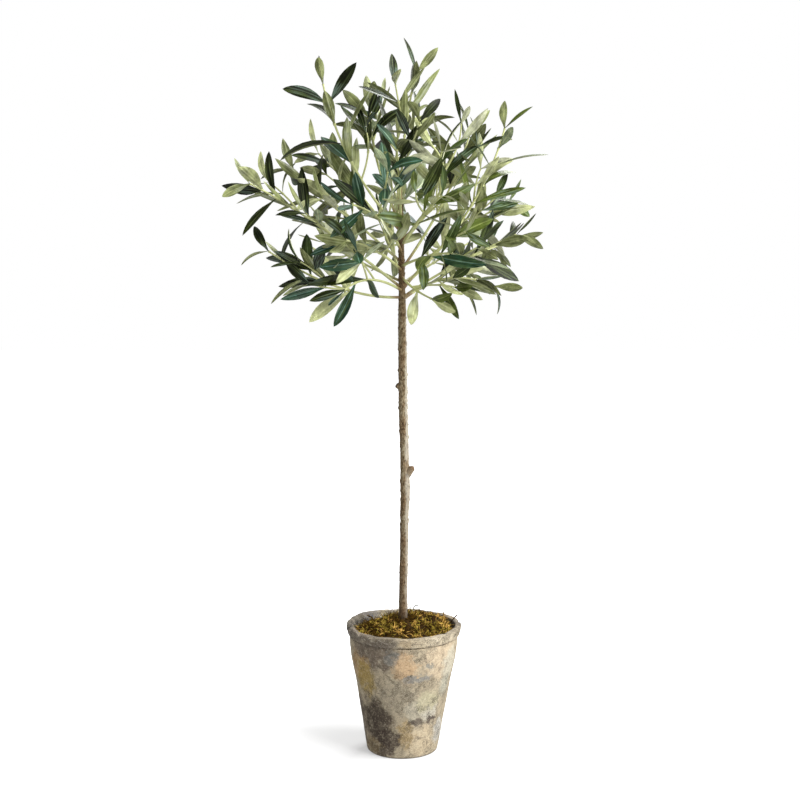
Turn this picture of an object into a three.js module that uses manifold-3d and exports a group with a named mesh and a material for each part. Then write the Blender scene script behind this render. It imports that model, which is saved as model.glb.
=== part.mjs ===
// An artificial olive standard in a weathered clay pot: a slim bare trunk set in a filled pot under a
// cover of moss, with a round open crown of wired boughs, each ending in one mass of leaf sprays.
// Millimetres, +Z up, +Y to the back. The origin is the centre of the pot's flat underside.
import * as THREE from "three";
import { mergeVertices } from "three/addons/utils/BufferGeometryUtils.js";
import Module from "manifold-3d";

const wasm = await Module();
wasm.setup();

// ---- driving dimensions ----
const GAP = 0.4; // left between pieces that touch
const CUT_GAP = 0.6; // grown onto a mass before it cuts its bough, which leaves about 0.3 to 0.6

const POT = {
  height: 162,
  rimRadius: 73,
  wall: 8,
  rimWall: 6.6, // the wall is thinner at the rim than lower down
  floor: 9,
  lipHeight: 13,
  rimBevel: 2.2, // how far the inner edge of the rim slopes back
  lipLedge: 1.6, // how far the foot of the lip stands out from the wall
  edgeRound: 3,
  segments: 48,
};
// The outer radius of the pot's wall on its way up to the lip, as [height, radius]: it swells under the lip.
const POT_WALL_LINE = [
  [0, 45.3],
  [75, 57.4],
  [100, 62],
  [122.5, 66.6],
  [138, 68.3],
  [149, 69],
];

const MOSS = { edgeHeight: 155.5, crownHeight: 170, thickness: 12, lumps: 2.2, lumpSize: 9, rings: 5, segments: 28 };

const TRUNK = {
  foot: 60, // height of the flat cut that stands in the pot's filling
  top: 700,
  crownRadius: 4.3, // where the first boughs leave
  sides: 10,
  steps: 26,
};
// The trunk's radius on its way up: it thins unevenly, and is thickest at the moss and at its knots.
const TRUNK_TAPER = [
  [60, 5.6],
  [161, 5.6],
  [200, 4.9],
  [370, 5.6],
  [480, 5.5],
  [555, 4.9],
  [580, TRUNK.crownRadius],
  [614, 3.7],
  [700, 2.4],
];
// How far the trunk strays sideways on its way up: [height, offset along X, offset along Y].
const TRUNK_SWAY = [
  [60, 0, 0],
  [180, 0, 0],
  [300, 1.6, -0.8],
  [375, 2.2, 0.6],
  [450, 0, 1],
  [560, -1, 0],
  [640, -2, 1],
  [700, -2.5, 0],
];
// Stubs of pruned side shoots: height on the trunk, compass heading, upward tilt, length, radius.
const STUBS = [
  { height: 350, heading: -15, tilt: 56, length: 18.2, radius: 4 },
  { height: 463, heading: 175, tilt: 34, length: 10.2, radius: 3.2 },
];

const BOUGH = { rootRadius: 1.8, tipRadius: 0.9, sides: 6, steps: 8 };

const MASS = {
  entry: 0.4, // share of the bough's length at which its foliage starts
  leafReach: 42, // how far the last leaves stand out past the end of their bough
  girth: 35, // half the width of a spray and the shoots beside it
  unevenness: 0.16,
  detail: 2, // icosahedron subdivisions
};

// Every bough: its root's height on the trunk, its compass heading from +X in degrees, how far out it
// reaches and how far it rises to its tip, and how far its middle stands off the straight line between
// root and tip: lead outwards, sway sideways, bow upwards. A girth of its own is its mass's half width.
const LIMBS = [
  { name: "low_left", root: 578, heading: -171, reach: 166, rise: 57, lead: -4, sway: 3, bow: -16, girth: 44 },
  { name: "long_left", root: 589, heading: -169, reach: 188, rise: 127, lead: 15, sway: 0, bow: 17, girth: 38 },
  { name: "rising_left", root: 621, heading: 166, reach: 141, rise: 114, lead: 5, sway: -1, bow: 5 },
  { name: "top_left", root: 658, heading: -171, reach: 98, rise: 178, lead: 14, sway: 2, bow: -4, girth: 40 },
  { name: "inner_left", root: 664, heading: 135, reach: 57, rise: 150, lead: 12, sway: 5, bow: 11 },
  { name: "top", root: 679, heading: -18, reach: 17, rise: 172, lead: -5, sway: -4, bow: 1, girth: 38 },
  { name: "curling_right", root: 648, heading: -68, reach: 48, rise: 126, lead: 31, sway: 31, bow: 9 },
  { name: "upper_right", root: 612, heading: 14, reach: 85, rise: 167, lead: 12, sway: 0, bow: 4 },
  { name: "high_right", root: 590, heading: -14, reach: 126, rise: 192, lead: 18, sway: -5, bow: -6, girth: 46 },
  { name: "middle_right", root: 586, heading: 17, reach: 137, rise: 108, lead: -4, sway: 2, bow: 10 },
  { name: "low_right", root: 577, heading: -10, reach: 140, rise: 78, lead: -7, sway: -9, bow: 0 },
  { name: "lowest_right", root: 574, heading: 17, reach: 120, rise: 16, lead: 1, sway: 7, bow: 18 },
  { name: "dropping_right", root: 604, heading: -59, reach: 65, rise: -25, lead: 0, sway: -4, bow: -1, girth: 18 },
  { name: "front_drop", root: 586, heading: -126, reach: 117, rise: 5, lead: 12, sway: 5, bow: 13 },
  { name: "front_left", root: 634, heading: -116, reach: 134, rise: 56, lead: 7, sway: 9, bow: 9 },
  { name: "front_right", root: 640, heading: -67, reach: 114, rise: 60, lead: 6, sway: -5, bow: 3 },
  { name: "front_low", root: 616, heading: -66, reach: 137, rise: 19, lead: 6, sway: -5, bow: 3 },
  { name: "front_top", root: 663, heading: -95, reach: 85, rise: 91, lead: 7, sway: 1, bow: 6 },
  { name: "front_middle", root: 611, heading: -121, reach: 129, rise: 38, lead: 4, sway: 3, bow: 7 },
  { name: "back_low_left", root: 597, heading: 134, reach: 146, rise: 47, lead: 8, sway: -2, bow: 0 },
  { name: "back_left", root: 641, heading: 131, reach: 133, rise: 103, lead: 6, sway: 0, bow: 6 },
  { name: "back_low", root: 604, heading: 98, reach: 151, rise: 50, lead: 5, sway: 0, bow: 0 },
  { name: "back_middle", root: 648, heading: 84, reach: 151, rise: 65, lead: 4, sway: 12, bow: 5 },
  { name: "back_top", root: 678, heading: 91, reach: 95, rise: 131, lead: 3, sway: 6, bow: 6 },
  { name: "back_right", root: 643, heading: 56, reach: 121, rise: 101, lead: 6, sway: 0, bow: -2 },
  { name: "back_low_right", root: 594, heading: 53, reach: 143, rise: 49, lead: 5, sway: 6, bow: 1 },
];

const COLOURS = {
  clay: new THREE.MeshStandardMaterial({ color: 0xa39a88, roughness: 0.92, metalness: 0 }),
  filling: new THREE.MeshStandardMaterial({ color: 0x8f8a80, roughness: 0.95, metalness: 0 }),
  moss: new THREE.MeshStandardMaterial({ color: 0x7a6a2c, roughness: 0.95, metalness: 0 }),
  bark: new THREE.MeshStandardMaterial({ color: 0x857053, roughness: 0.85, metalness: 0 }),
  shoot: new THREE.MeshStandardMaterial({ color: 0x8f8f56, roughness: 0.6, metalness: 0 }),
  leaf: new THREE.MeshStandardMaterial({ color: 0x4c6142, roughness: 0.5, metalness: 0 }),
};

// ---- shared geometry ----
function closed(geometry) {
  const bare = geometry.clone();
  for (const name of Object.keys(bare.attributes)) if (name !== "position") bare.deleteAttribute(name);
  return mergeVertices(bare, 1e-3);
}

function toSolid(geometry) {
  return new wasm.Manifold(
    new wasm.Mesh({
      numProp: 3,
      vertProperties: geometry.attributes.position.array,
      triVerts: new Uint32Array(geometry.index.array),
    }),
  );
}

function toGeometry(solid) {
  const mesh = solid.getMesh();
  return new THREE.BufferGeometry()
    .setAttribute("position", new THREE.BufferAttribute(mesh.vertProperties, 3))
    .setIndex(new THREE.BufferAttribute(mesh.triVerts, 1));
}

function compass(degrees) {
  const angle = THREE.MathUtils.degToRad(degrees);
  return new THREE.Vector3(Math.cos(angle), Math.sin(angle), 0);
}

// A closed tapering rod of round section along a curve, with radiusAt(share of its length).
function taperedRod(curve, radiusAt, sides, steps) {
  const rod = closed(new THREE.CylinderGeometry(1, 1, 1, sides, steps));
  const frames = curve.computeFrenetFrames(steps);
  const places = rod.attributes.position;
  for (let i = 0; i < places.count; i++) {
    const share = places.getY(i) + 0.5;
    const step = Math.round(share * steps);
    const radius = radiusAt(share);
    const point = curve
      .getPointAt(share)
      .addScaledVector(frames.normals[step], places.getX(i) * radius)
      .addScaledVector(frames.binormals[step], -places.getZ(i) * radius);
    places.setXYZ(i, point.x, point.y, point.z);
  }
  return rod;
}

// A smooth uneven number between about -1 and 1 for each direction, different for each seed.
function unevenness(direction, seed) {
  const waves = [2.1, 3.4, 5.2];
  let sum = 0;
  THREE.MathUtils.seededRandom(seed);
  for (const wave of waves) {
    const pick = () => THREE.MathUtils.seededRandom() * 2 - 1;
    const axis = new THREE.Vector3(pick(), pick(), pick()).normalize();
    sum += Math.sin(direction.dot(axis) * wave + pick() * Math.PI) / waves.length;
  }
  return sum * 1.4;
}

// A value from a table of rows that start with a height, straight between its rows.
function valueAt(table, height) {
  const next = THREE.MathUtils.clamp(
    table.findIndex(([z]) => z >= height),
    1,
    table.length - 1,
  );
  const [low, high] = [table[next - 1], table[next]];
  return THREE.MathUtils.mapLinear(height, low[0], high[0], low[1], high[1]);
}

// ---- pot: a thrown clay pot with a plain lip ----
const potOuterRadius = (z) => valueAt(POT_WALL_LINE, z);

function potGeometry() {
  const { height, rimRadius, wall, rimWall, floor, lipHeight, rimBevel, lipLedge, edgeRound } = POT;
  const lipFoot = height - lipHeight;
  const profile = [
    [0, 0],
    [potOuterRadius(0) - edgeRound, 0],
    [potOuterRadius(edgeRound), edgeRound],
    ...POT_WALL_LINE.slice(1).map(([z, radius]) => [radius, z]),
    [potOuterRadius(lipFoot) + lipLedge, lipFoot + 1.4],
    [rimRadius, height - edgeRound],
    [rimRadius - edgeRound, height],
    [rimRadius - rimWall, height],
    [rimRadius - rimWall - rimBevel, height - edgeRound],
    [potOuterRadius(floor) - wall, floor],
    [0, floor],
  ].map(([r, z]) => new THREE.Vector2(r, z));
  return new THREE.LatheGeometry(profile, POT.segments).rotateX(Math.PI / 2);
}

// The pot's inner radius at a height, from its floor to just under the lip.
function potInnerRadius(z) {
  const { height, rimRadius, wall, rimWall, floor, rimBevel, edgeRound } = POT;
  const low = potOuterRadius(floor) - wall;
  const high = rimRadius - rimWall - rimBevel;
  return low + ((high - low) * (z - floor)) / (height - edgeRound - floor);
}

// ---- trunk: a natural pole with the stubs of its pruned side shoots ----
const trunkCurve = new THREE.CatmullRomCurve3(
  TRUNK_SWAY.map(([z, x, y]) => new THREE.Vector3(x, y, z)),
  false,
  "centripetal",
);
const trunkPointAt = (z) => {
  let low = 0;
  let high = 1;
  for (let i = 0; i < 24; i++) {
    const middle = (low + high) / 2;
    if (trunkCurve.getPointAt(middle).z < z) low = middle;
    else high = middle;
  }
  return trunkCurve.getPointAt(low);
};

function trunkSolid(grow = 0) {
  const radiusAt = (share) => valueAt(TRUNK_TAPER, trunkCurve.getPointAt(share).z) + grow;
  let solid = toSolid(taperedRod(trunkCurve, radiusAt, TRUNK.sides, TRUNK.steps));
  for (const { height, heading, tilt, length, radius } of STUBS) {
    const start = trunkPointAt(height);
    const rise = Math.tan(THREE.MathUtils.degToRad(tilt));
    const way = compass(heading).setZ(rise).normalize();
    const stubCurve = new THREE.LineCurve3(start, start.clone().addScaledVector(way, length + grow));
    solid = solid.add(toSolid(taperedRod(stubCurve, () => radius + grow, 8, 1)));
  }
  return solid;
}

// ---- filling and moss ----
function fillingGeometry() {
  const top = MOSS.edgeHeight - MOSS.thickness - GAP;
  const bottom = POT.floor + GAP;
  const socket = TRUNK_TAPER[0][1] + GAP;
  const profile = [
    [0, bottom],
    [potInnerRadius(bottom) - GAP, bottom],
    [potInnerRadius(top) - GAP, top],
    [socket, top],
    [socket, TRUNK.foot - GAP],
    [0, TRUNK.foot - GAP],
  ].map(([r, z]) => new THREE.Vector2(r, z));
  return new THREE.LatheGeometry(profile, POT.segments / 2).rotateX(Math.PI / 2);
}

function mossGeometry() {
  const { edgeHeight, crownHeight, thickness, lumps, lumpSize, rings, segments } = MOSS;
  const inner = TRUNK_TAPER[0][1] + 2 * GAP;
  const underside = edgeHeight - thickness;
  const outerTop = potInnerRadius(edgeHeight - 1) - GAP - 0.6;
  const mound = [];
  for (let i = 0; i <= rings; i++) {
    const share = i / rings;
    const radius = THREE.MathUtils.lerp(outerTop - 1, inner, share);
    mound.push([radius, THREE.MathUtils.lerp(edgeHeight, crownHeight, Math.sin((share * Math.PI) / 2))]);
  }
  const profile = [
    [inner, underside],
    [potInnerRadius(underside) - GAP - 0.6, underside],
    [outerTop, edgeHeight - 2],
    ...mound,
    [inner, underside],
  ].map(([r, z]) => new THREE.Vector2(r, z));
  const moss = closed(new THREE.LatheGeometry(profile, segments).rotateX(Math.PI / 2));
  const places = moss.attributes.position;
  for (let i = 0; i < places.count; i++) {
    const [x, y, z] = [places.getX(i), places.getY(i), places.getZ(i)];
    if (z < edgeHeight - 1) continue;
    const lump = Math.sin(x / lumpSize + 2) * Math.sin(y / lumpSize) + 0.6 * Math.sin((x - y) / (lumpSize * 0.6));
    places.setZ(i, z + (lumps * lump) / 1.6);
  }
  return moss;
}

// ---- boughs and the masses of foliage at their ends ----
function limbCurve({ root, heading, reach, rise, lead, sway, bow }) {
  const out = compass(heading);
  const side = compass(heading + 90);
  const start = trunkPointAt(root);
  const tip = out.clone().multiplyScalar(reach).setZ(root + rise);
  const middle = start
    .clone()
    .add(tip)
    .multiplyScalar(0.5)
    .addScaledVector(out, lead)
    .addScaledVector(side, sway)
    .add(new THREE.Vector3(0, 0, bow));
  return new THREE.CatmullRomCurve3([start, middle, tip], false, "centripetal");
}

// Where a mass lies: a spindle from the bough's entry to past its last leaves, bent as the bough is.
function massPlace(limb, index) {
  const curve = limbCurve(limb);
  const entry = curve.getPointAt(MASS.entry);
  const tip = curve.getPointAt(1);
  const end = tip.clone().addScaledVector(curve.getTangentAt(1), MASS.leafReach);
  const axis = end.clone().sub(entry);
  const halfLength = axis.length() / 2;
  axis.normalize();
  const centre = entry.clone().add(end).multiplyScalar(0.5);
  const halfway = curve.getPointAt((MASS.entry + 1) / 2);
  const bend = halfway.sub(entry.clone().add(tip).multiplyScalar(0.5));
  bend.addScaledVector(axis, -bend.dot(axis));
  return { limb, index, axis, halfLength, centre: centre.add(bend), bend, walls: [] };
}

// Flat walls that keep each mass clear of its neighbours and of the trunk.
function raiseWalls(places) {
  const crownFoot = trunkPointAt(LIMBS.reduce((low, limb) => Math.min(low, limb.root), Infinity) - 30);
  const crownHead = trunkPointAt(TRUNK.top);
  const trunkLine = new THREE.Line3(crownFoot, crownHead);
  for (const place of places) {
    for (const other of places) {
      if (other === place) continue;
      const normal = other.centre.clone().sub(place.centre);
      const room = normal.length() / 2 - GAP;
      place.walls.push({ normal: normal.normalize(), room });
    }
    const nearest = trunkLine.closestPointToPoint(place.centre, true, new THREE.Vector3());
    const normal = nearest.sub(place.centre);
    const room = normal.length() - TRUNK.crownRadius - 2.5;
    place.walls.push({ normal: normal.normalize(), room });
  }
}

function massGeometry(place, grow = 0) {
  const { axis, halfLength, centre, bend, walls, index } = place;
  const girth = place.limb.girth ?? MASS.girth;
  const mass = closed(new THREE.IcosahedronGeometry(1, MASS.detail));
  const points = mass.attributes.position;
  const direction = new THREE.Vector3();
  for (let i = 0; i < points.count; i++) {
    direction.fromBufferAttribute(points, i).normalize();
    const along = direction.dot(axis);
    const across = 1 - along * along;
    const even = 1 / Math.sqrt((along * along) / halfLength ** 2 + across / girth ** 2);
    const uneven = even * (1 + MASS.unevenness * across * unevenness(direction, index + 1));
    const share = (along * uneven) / halfLength;
    const point = direction.clone().multiplyScalar(uneven).addScaledVector(bend, -share * share);
    let length = point.length();
    point.normalize();
    for (const { normal, room } of walls) {
      const facing = point.dot(normal);
      if (facing > 0) length = Math.min(length, room / facing);
    }
    point.multiplyScalar(length + grow).add(centre);
    points.setXYZ(i, point.x, point.y, point.z);
  }
  return mass;
}

// A bough from the trunk's bark to the face of the first mass it meets.
function boughGeometry(limb, grownTrunk, grownMasses) {
  const curve = limbCurve(limb);
  const radiusAt = (share) => THREE.MathUtils.lerp(BOUGH.rootRadius, BOUGH.tipRadius, share);
  let rod = toSolid(taperedRod(curve, radiusAt, BOUGH.sides, BOUGH.steps)).subtract(grownTrunk);
  for (const mass of grownMasses) rod = rod.subtract(mass);
  const root = curve.getPointAt(0);
  const distance = (piece) => {
    const { min, max } = piece.boundingBox();
    return new THREE.Box3(new THREE.Vector3(...min), new THREE.Vector3(...max)).distanceToPoint(root);
  };
  const pieces = rod.decompose().sort((a, b) => distance(a) - distance(b));
  return toGeometry(pieces[0]);
}

// ---- the tree ----
const tree = new THREE.Group();

function addPiece(name, geometry, material) {
  geometry.computeVertexNormals();
  const mesh = new THREE.Mesh(geometry, material);
  mesh.name = name;
  tree.add(mesh);
}

addPiece("pot", potGeometry(), COLOURS.clay);
addPiece("filling", fillingGeometry(), COLOURS.filling);
addPiece("moss", mossGeometry(), COLOURS.moss);
addPiece("trunk", toGeometry(trunkSolid()), COLOURS.bark);

const massPlaces = LIMBS.map(massPlace);
raiseWalls(massPlaces);
const grownTrunk = trunkSolid(GAP);
const grownMasses = massPlaces.map((place) => toSolid(massGeometry(place, CUT_GAP)));
for (const place of massPlaces) {
  addPiece(`bough_${place.limb.name}`, boughGeometry(place.limb, grownTrunk, grownMasses), COLOURS.shoot);
  addPiece(`foliage_${place.limb.name}`, massGeometry(place), COLOURS.leaf);
}

export default tree;
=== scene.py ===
# An artificial olive standard in a weathered clay pot: the pot and its moss, the trunk, the wired boughs,
# and the sprays of leaves that they carry. Metres, +Z up, +Y to the back, origin under the pot's middle.
import math
import random

import bmesh
import bpy
from mathutils import Matrix, Vector, noise


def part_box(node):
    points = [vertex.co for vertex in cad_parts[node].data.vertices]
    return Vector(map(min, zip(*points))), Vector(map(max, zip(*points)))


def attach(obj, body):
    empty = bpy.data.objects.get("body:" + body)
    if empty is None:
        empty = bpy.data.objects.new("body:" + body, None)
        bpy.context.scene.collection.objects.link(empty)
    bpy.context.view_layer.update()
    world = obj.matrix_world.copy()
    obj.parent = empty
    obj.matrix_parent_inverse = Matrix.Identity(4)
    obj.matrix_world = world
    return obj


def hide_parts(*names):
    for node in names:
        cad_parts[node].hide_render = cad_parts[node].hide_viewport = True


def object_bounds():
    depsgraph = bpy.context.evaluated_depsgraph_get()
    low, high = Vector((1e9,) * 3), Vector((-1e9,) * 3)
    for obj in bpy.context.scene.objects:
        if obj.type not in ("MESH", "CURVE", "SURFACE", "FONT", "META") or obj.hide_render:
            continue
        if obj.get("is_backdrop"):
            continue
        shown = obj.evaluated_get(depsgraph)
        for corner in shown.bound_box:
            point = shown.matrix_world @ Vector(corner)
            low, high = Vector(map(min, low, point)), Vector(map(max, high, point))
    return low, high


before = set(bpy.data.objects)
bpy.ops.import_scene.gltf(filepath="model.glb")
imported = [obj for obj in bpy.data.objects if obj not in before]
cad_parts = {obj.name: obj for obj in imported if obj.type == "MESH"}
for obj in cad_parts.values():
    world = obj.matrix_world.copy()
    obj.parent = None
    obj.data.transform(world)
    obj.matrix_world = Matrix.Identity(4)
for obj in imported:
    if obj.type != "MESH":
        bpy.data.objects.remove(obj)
cad_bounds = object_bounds()

# ---- camera ----
# It stands 1.8 m in front of the tree, a little below the middle of the crown, and looks slightly down.
CAMERA_PLACE = (-0.0037, -1.8, 0.665)
CAMERA_PITCH = math.radians(6.83)
CAMERA_LENS = 65.2  # millimetres, on a sensor that is SENSOR_WIDTH across
SENSOR_WIDTH = 36.0

camera_data = bpy.data.cameras.new("camera")
camera_data.lens = CAMERA_LENS
camera_data.sensor_width = SENSOR_WIDTH
camera = bpy.data.objects.new("camera", camera_data)
camera.location = CAMERA_PLACE
camera.rotation_euler = (math.radians(90) - CAMERA_PITCH, 0, 0)
bpy.context.scene.collection.objects.link(camera)
bpy.context.scene.camera = camera

# ---- pot ----
# A thrown pot of unglazed clay with a plain lip, weathered in patches of lime, soot and yellow lichen.
# The wall is turned as one closed section, and the lip is worn and chipped along its edge.
POT_RIM_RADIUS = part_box("pot")[1].x
POT_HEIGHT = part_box("pot")[1].z
POT_WALL = 0.008
POT_FLOOR = 0.009
POT_EDGE_ROUND = 0.002
# The outer radius of the wall on its way up to the lip, as (height, radius): it swells under the lip.
POT_WALL_LINE = [
    (0, 0.0453),
    (0.075, 0.0574),
    (0.100, 0.0620),
    (0.1225, 0.0666),
    (0.138, 0.0683),
    (0.1495, 0.0690),
]
LIP_HEIGHT = 0.0125
LIP_FOOT = POT_HEIGHT - LIP_HEIGHT
LIP_LEDGE = 0.0016  # how far the foot of the lip stands out from the wall
LIP_ROUND = 0.0012
LIP_ROUND_RISE = 0.0014  # how far above the foot of the lip the middle of its round lies
RIM_WALL = 0.0070  # the wall is thinner at the rim than lower down
RIM_ROUND = 0.0013
THICKENING = 0.005  # how much further in the inner wall is, where it has its full thickness
THICKENED_AT = 0.03  # how far under the rim that is
GROOVE_DEPTH = 0.0008
GROOVE_START = 0.002  # how far under the lip the wall starts to draw in to the groove
GROOVE_WIDTH = 0.0006
POT_SEGMENTS = 256
POT_STEP = 0.0015  # height of one row of faces up the wall
# Wear. The pot was thrown a little out of true, so that it leans to the right, and its rim was left higher
# at the back left.
POT_LEAN = 0.013
LEAN_LEVEL = 0.06  # the height at which the lean leaves the pot in place
PLAIN_BELOW = 0.001  # the underside, and the floor out to PLAIN_WITHIN, stay even
PLAIN_WITHIN = 0.03
WAVES, WAVE_HEIGHT = 38, 0.0005  # noise scale and height of the waves in the wall, 26 mm apart
GRIT, GRIT_HEIGHT = 330, 0.00022  # grit, 3 mm apart
LIP_WEAR, LIP_WEAR_HEIGHT = 95, 0.0009  # wear on the lip, 10 mm apart
CHIPS, CHIP_DEPTH = 62, 0.011  # chips in the rim, 16 mm apart
CHIP_FROM = 0.24  # the noise above which there is a chip
CHIP_ORIGIN = Vector((5, 2, 9))
RIM_WAVES, RIM_WAVE_HEIGHT = 90, 0.001
RIM_BAND = 0.006  # how far under the rim its unevenness dies out
RIM_HIGH = 0.002
RIM_HIGH_SIDE = (-0.71, 0.71, 0)
RIM_HIGH_FROM = 0.75  # cosine of the angle off that side at which the rim starts to rise


def pot_wall_radius(z):
    """Outer radius of the plain wall at a height, carried on straight above the foot of the lip."""
    rows = list(zip(POT_WALL_LINE, POT_WALL_LINE[1:]))
    low, high = next((pair for pair in rows if z <= pair[1][0]), rows[-1])
    return low[1] + (high[1] - low[1]) * (z - low[0]) / (high[0] - low[0])


def arc(centre_r, centre_z, radius, start, end, count):
    """Points of a section along an arc, from one angle to another, in degrees."""
    angles = [math.radians(start + (end - start) * i / count) for i in range(count + 1)]
    return [(centre_r + radius * math.cos(a), centre_z + radius * math.sin(a)) for a in angles]


def pot_section():
    """Radius and height of each corner of the pot's section, from the middle of its foot to its floor."""
    wall = pot_wall_radius(LIP_FOOT)
    inner = POT_RIM_RADIUS - RIM_ROUND - RIM_WALL
    foot_round = pot_wall_radius(0) - POT_EDGE_ROUND
    return [
        (0, 0),
        *arc(foot_round, POT_EDGE_ROUND, POT_EDGE_ROUND, -90, -8, 5),
        *[(radius, z) for z, radius in POT_WALL_LINE[1:-1]],
        (pot_wall_radius(LIP_FOOT - GROOVE_START), LIP_FOOT - GROOVE_START),
        (wall - GROOVE_DEPTH, LIP_FOOT - GROOVE_WIDTH),
        (wall - GROOVE_DEPTH, LIP_FOOT),
        *arc(wall + LIP_LEDGE - LIP_ROUND, LIP_FOOT + LIP_ROUND_RISE, LIP_ROUND, -80, 0, 4),
        *arc(POT_RIM_RADIUS - RIM_ROUND, POT_HEIGHT - RIM_ROUND, RIM_ROUND, -10, 90, 6),
        *arc(inner + RIM_ROUND, POT_HEIGHT - RIM_ROUND, RIM_ROUND, 90, 180, 6),
        (inner - THICKENING, POT_HEIGHT - THICKENED_AT),
        (pot_wall_radius(POT_FLOOR) - POT_WALL, POT_FLOOR),
        (0, POT_FLOOR),
    ]


def turned(section, segments, step):
    """A bmesh of a section turned a full circle about Z, its long straight runs divided into steps."""
    shape = bmesh.new()
    points = [shape.verts.new((r, 0, z)) for r, z in section]
    edges = [shape.edges.new(pair) for pair in zip(points, points[1:])]
    for edge in edges:
        cuts = int(edge.calc_length() / step)
        if cuts:
            bmesh.ops.subdivide_edges(shape, edges=[edge], cuts=cuts)
    bmesh.ops.spin(
        shape,
        geom=shape.verts[:] + shape.edges[:],
        axis=(0, 0, 1),
        angle=math.tau,
        steps=segments,
        use_merge=True,
    )
    bmesh.ops.remove_doubles(shape, verts=shape.verts[:], dist=1e-6)
    bmesh.ops.recalc_face_normals(shape, faces=shape.faces[:])
    return shape


def climb(value, low, high):
    """0 below low, 1 above high, and straight between them."""
    return min(max((value - low) / (high - low), 0), 1)


def wear_pot(shape):
    """Leaves the wall slightly uneven, roughens the lip, and takes small chips out of its top edge."""
    for vertex in shape.verts:
        place = vertex.co.copy()
        vertex.co.x += POT_LEAN * (place.z - LEAN_LEVEL)
        if place.z < PLAIN_BELOW or place.xy.length < PLAIN_WITHIN:
            continue
        out = Vector((place.x, place.y, 0)).normalized()
        lip = climb(place.z, LIP_FOOT - 0.001, LIP_FOOT + 0.002)
        top = climb(place.z, POT_HEIGHT - RIM_BAND, POT_HEIGHT)
        waviness = noise.noise(place * WAVES) * WAVE_HEIGHT
        grit = noise.fractal(place * GRIT, 0.8, 2.1, 3) * GRIT_HEIGHT
        lip_wear = noise.fractal(place * LIP_WEAR, 0.9, 2.1, 3) * LIP_WEAR_HEIGHT * lip
        vertex.co += out * (waviness + grit + lip_wear)
        chip = max(noise.noise(place * CHIPS + CHIP_ORIGIN) - CHIP_FROM, 0) * lip * CHIP_DEPTH
        high_side = max(out.dot(RIM_HIGH_SIDE) - RIM_HIGH_FROM, 0) / (1 - RIM_HIGH_FROM)
        uneven = noise.noise(place * RIM_WAVES) * RIM_WAVE_HEIGHT
        vertex.co.z += (RIM_HIGH * high_side + uneven - chip) * top


def shown_mesh(name, shape):
    """Turns a bmesh into a mesh with smooth faces."""
    mesh = bpy.data.meshes.new(name)
    for face in shape.faces:
        face.smooth = True
    shape.to_mesh(mesh)
    shape.free()
    return mesh


def add_piece(name, mesh, replaced, materials):
    """Puts a finished mesh in the scene as a piece of the tree, in place of CAD nodes."""
    piece = bpy.data.objects.new(name, mesh)
    bpy.context.scene.collection.objects.link(piece)
    for material in materials:
        mesh.materials.append(material)
    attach(piece, "root")
    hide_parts(*replaced)
    return piece


def colour(hex_value):
    """An sRGB hex colour such as "a39a88" as linear RGBA."""
    channels = [int(hex_value[i : i + 2], 16) / 255 for i in (0, 2, 4)]
    linear = [c / 12.92 if c <= 0.04045 else ((c + 0.055) / 1.055) ** 2.4 for c in channels]
    return (*linear, 1.0)


def add_node(owner, kind, inputs=(), output=0, **settings):
    """Adds a shader node with its settings, sets or links its inputs, and gives one of its outputs.

    Inputs go by name or number, or are a list in the node's own order. A string is a hex colour.
    """
    node = owner.node_tree.nodes.new(f"ShaderNode{kind}")
    for name, value in settings.items():
        setattr(node, name, value)
    for name, value in inputs.items() if isinstance(inputs, dict) else enumerate(inputs):
        socket = node.inputs[name]
        if isinstance(value, bpy.types.NodeSocket):
            owner.node_tree.links.new(value, socket)
        else:
            socket.default_value = colour(value) if isinstance(value, str) else value
    return node.outputs[output]


def new_material(name, roughness, ior=1.45, specular=0.5):
    """A material with one shader, whose plain numbers are set on the shader itself."""
    material = bpy.data.materials.new(name)
    material.use_nodes = True
    shader = material.node_tree.nodes["Principled BSDF"]
    shader.inputs["Roughness"].default_value = roughness
    shader.inputs["IOR"].default_value = ior
    shader.inputs["Specular IOR Level"].default_value = specular
    return material


# A spread is a list of a pattern's value, the two values between which it counts, and its shares there.
SMOOTH = {"interpolation_type": "SMOOTHSTEP"}


def stained(material, tint, stain, share):
    """A tint with a stain over it, its share either a socket or the spread of a pattern."""
    if isinstance(share, list):
        share = add_node(material, "MapRange", share, **SMOOTH)
    return add_node(material, "Mix", {0: share, 6: tint, 7: stain}, 2, data_type="RGBA")


def toned(material, tint, spread):
    """A tint made darker or lighter by a factor that follows the spread of a pattern."""
    tone = {0: 1.0, 6: tint, 7: add_node(material, "MapRange", spread, **SMOOTH)}
    return add_node(material, "Mix", tone, 2, data_type="RGBA", blend_type="MULTIPLY")


def joint_share(material, first, second, operation="MULTIPLY"):
    """The share where the spreads of two patterns meet, or of either with the operation MAXIMUM."""
    shares = [add_node(material, "MapRange", spread, **SMOOTH) for spread in (first, second)]
    return add_node(material, "Math", shares, operation=operation)


def finished(material, tint, relief, strength, depth):
    """The material with its tint and a fine relief, of a strength and of a depth in metres."""
    shader = material.node_tree.nodes["Principled BSDF"]
    material.node_tree.links.new(tint, shader.inputs["Base Color"])
    bump = add_node(material, "Bump", {"Height": relief, "Strength": strength, "Distance": depth})
    material.node_tree.links.new(bump, shader.inputs["Normal"])
    return material


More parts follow.
